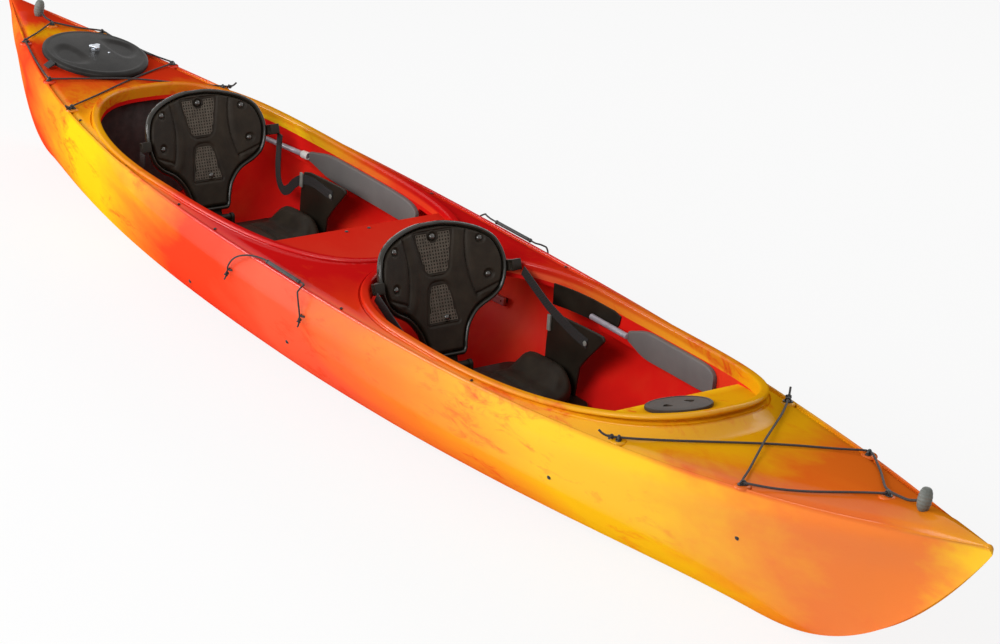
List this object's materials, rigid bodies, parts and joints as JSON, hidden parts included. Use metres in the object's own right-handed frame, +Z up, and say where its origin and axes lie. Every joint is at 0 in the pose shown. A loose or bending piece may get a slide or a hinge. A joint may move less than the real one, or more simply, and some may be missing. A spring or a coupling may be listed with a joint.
{
  "type": "tandem kayak",
  "caption": "Two-seat sit-inside recreational kayak with a long front and rear cockpit, folding seat backs, stern hatch, dash compartment, deck bungees and carry toggles.",
  "frame": {"origin": "on the floor under the middle of the hull's length, on the centreline", "axes": "+X to the bow along the longest extent, +Y to port, +Z up"},
  "size_m": [4.72, 0.7852, 0.4986],
  "materials": {
    "hull_plastic": "satin",
    "foam": "matte",
    "cover_plastic": "satin",
    "seal_rubber": "matte",
    "bright_metal": "satin",
    "rail_metal": "satin",
    "seat_plastic": "satin",
    "pad_fabric": "matte",
    "mesh_fabric": "matte",
    "webbing": "matte",
    "fitting_plastic": "satin",
    "cord": "matte",
    "grip_rubber": "matte",
    "tube_plastic": "satin",
    "white_plastic": "satin"
  },
  "bodies": {
    "hull": {"hull_shell": "hull_plastic", "rear_bulkhead": "foam", "bow_float": "foam", "hatch_gasket": "seal_rubber", "dash_cup": "cover_plastic", "bridge_rivets": "fitting_plastic", "front_seat_base": "seat_plastic", "front_cushion": "pad_fabric", "front_hinge_pin": "bright_metal", "front_hip_plates": "seat_plastic", "front_straps": "webbing", "front_hip_fittings": "bright_metal", "rear_seat_base": "seat_plastic", "rear_cushion": "pad_fabric", "rear_hinge_pin": "bright_metal", "rear_hip_plates": "seat_plastic", "rear_straps": "webbing", "rear_hip_fittings": "bright_metal", "front_thigh_pads": "foam", "rear_thigh_pads": "foam", "front_tubes": "tube_plastic", "rear_tubes": "rail_metal", "tube_ends": "white_plastic", "wall_plates": "seat_plastic", "foot_rails": "rail_metal", "rail_screws": "fitting_plastic", "pad_eyes": "fitting_plastic", "front_bungee": "cord", "rear_bungee": "cord", "keeper_cords": "cord", "keeper_sleeves": "fitting_plastic", "keeper_beads": "fitting_plastic"},
    "front_back": {"front_back_shell": "seat_plastic", "front_back_pad": "pad_fabric", "front_back_mesh": "mesh_fabric", "front_back_studs": "seat_plastic", "front_back_bracket": "seat_plastic", "front_strap_locks": "seat_plastic"},
    "rear_back": {"rear_back_shell": "seat_plastic", "rear_back_pad": "pad_fabric", "rear_back_mesh": "mesh_fabric", "rear_back_studs": "seat_plastic", "rear_back_bracket": "seat_plastic", "rear_strap_locks": "seat_plastic"},
    "hatch": {"hatch_cover": "cover_plastic", "hatch_screw": "bright_metal", "hatch_tabs": "webbing"},
    "hatch_twist": {"hatch_knob": "bright_metal"},
    "dash_twist": {"dash_lid": "cover_plastic"},
    "front_port_foot": {"front_port_pedal": "seat_plastic"},
    "front_starboard_foot": {"front_starboard_pedal": "seat_plastic"},
    "rear_port_foot": {"rear_port_pedal": "seat_plastic"},
    "rear_starboard_foot": {"rear_starboard_pedal": "seat_plastic"},
    "bow_carry": {"bow_toggle": "grip_rubber", "bow_loop": "cord"},
    "stern_carry": {"stern_toggle": "grip_rubber", "stern_loop": "cord"}
  },
  "joints": [
    {"name": "front_back_fold", "type": "hinge", "parent": "hull", "child": "front_back", "pos_m": [0.336, 0, 0.115], "axis": [0, 1, 0], "range_deg": [0, 60]},
    {"name": "rear_back_fold", "type": "hinge", "parent": "hull", "child": "rear_back", "pos_m": [-0.946, 0, 0.115], "axis": [0, 1, 0], "range_deg": [-10, 60]},
    {"name": "hatch_lift", "type": "slide", "parent": "hull", "child": "hatch", "axis": [0.0729, 0, 0.9973], "range_m": [0, 0.3]},
    {"name": "hatch_knob_turn", "type": "hinge", "parent": "hatch", "child": "hatch_twist", "pos_m": [-1.747, 0, 0.38959], "axis": [0.0729, 0, 0.9973], "range_deg": [0, 90]},
    {"name": "dash_lid_turn", "type": "hinge", "parent": "hull", "child": "dash_twist", "pos_m": [1.286, 0, 0.361], "axis": [-0.225, 0, 0.9744], "range_deg": [0, 90]},
    {"name": "front_port_pedal_slide", "type": "slide", "parent": "hull", "child": "front_port_foot", "axis": [0.9753, -0.1985, 0.0967], "range_m": [-0.15, 0.15]},
    {"name": "front_starboard_pedal_slide", "type": "slide", "parent": "hull", "child": "front_starboard_foot", "axis": [0.9753, 0.1985, 0.0967], "range_m": [-0.15, 0.15]},
    {"name": "rear_port_pedal_slide", "type": "slide", "parent": "hull", "child": "rear_port_foot", "axis": [0.9985, 0.0324, 0.0442], "range_m": [-0.15, 0.15]},
    {"name": "rear_starboard_pedal_slide", "type": "slide", "parent": "hull", "child": "rear_starboard_foot", "axis": [0.9985, -0.0324, 0.0442], "range_m": [-0.15, 0.15]},
    {"name": "bow_toggle_lift", "type": "hinge", "parent": "hull", "child": "bow_carry", "pos_m": [2.027, 0, 0.4366], "axis": [0, -1, 0], "range_deg": [0, 110]},
    {"name": "stern_toggle_lift", "type": "hinge", "parent": "hull", "child": "stern_carry", "pos_m": [-2.05, 0, 0.42647], "axis": [0, 1, 0], "range_deg": [0, 110]}
  ]
}
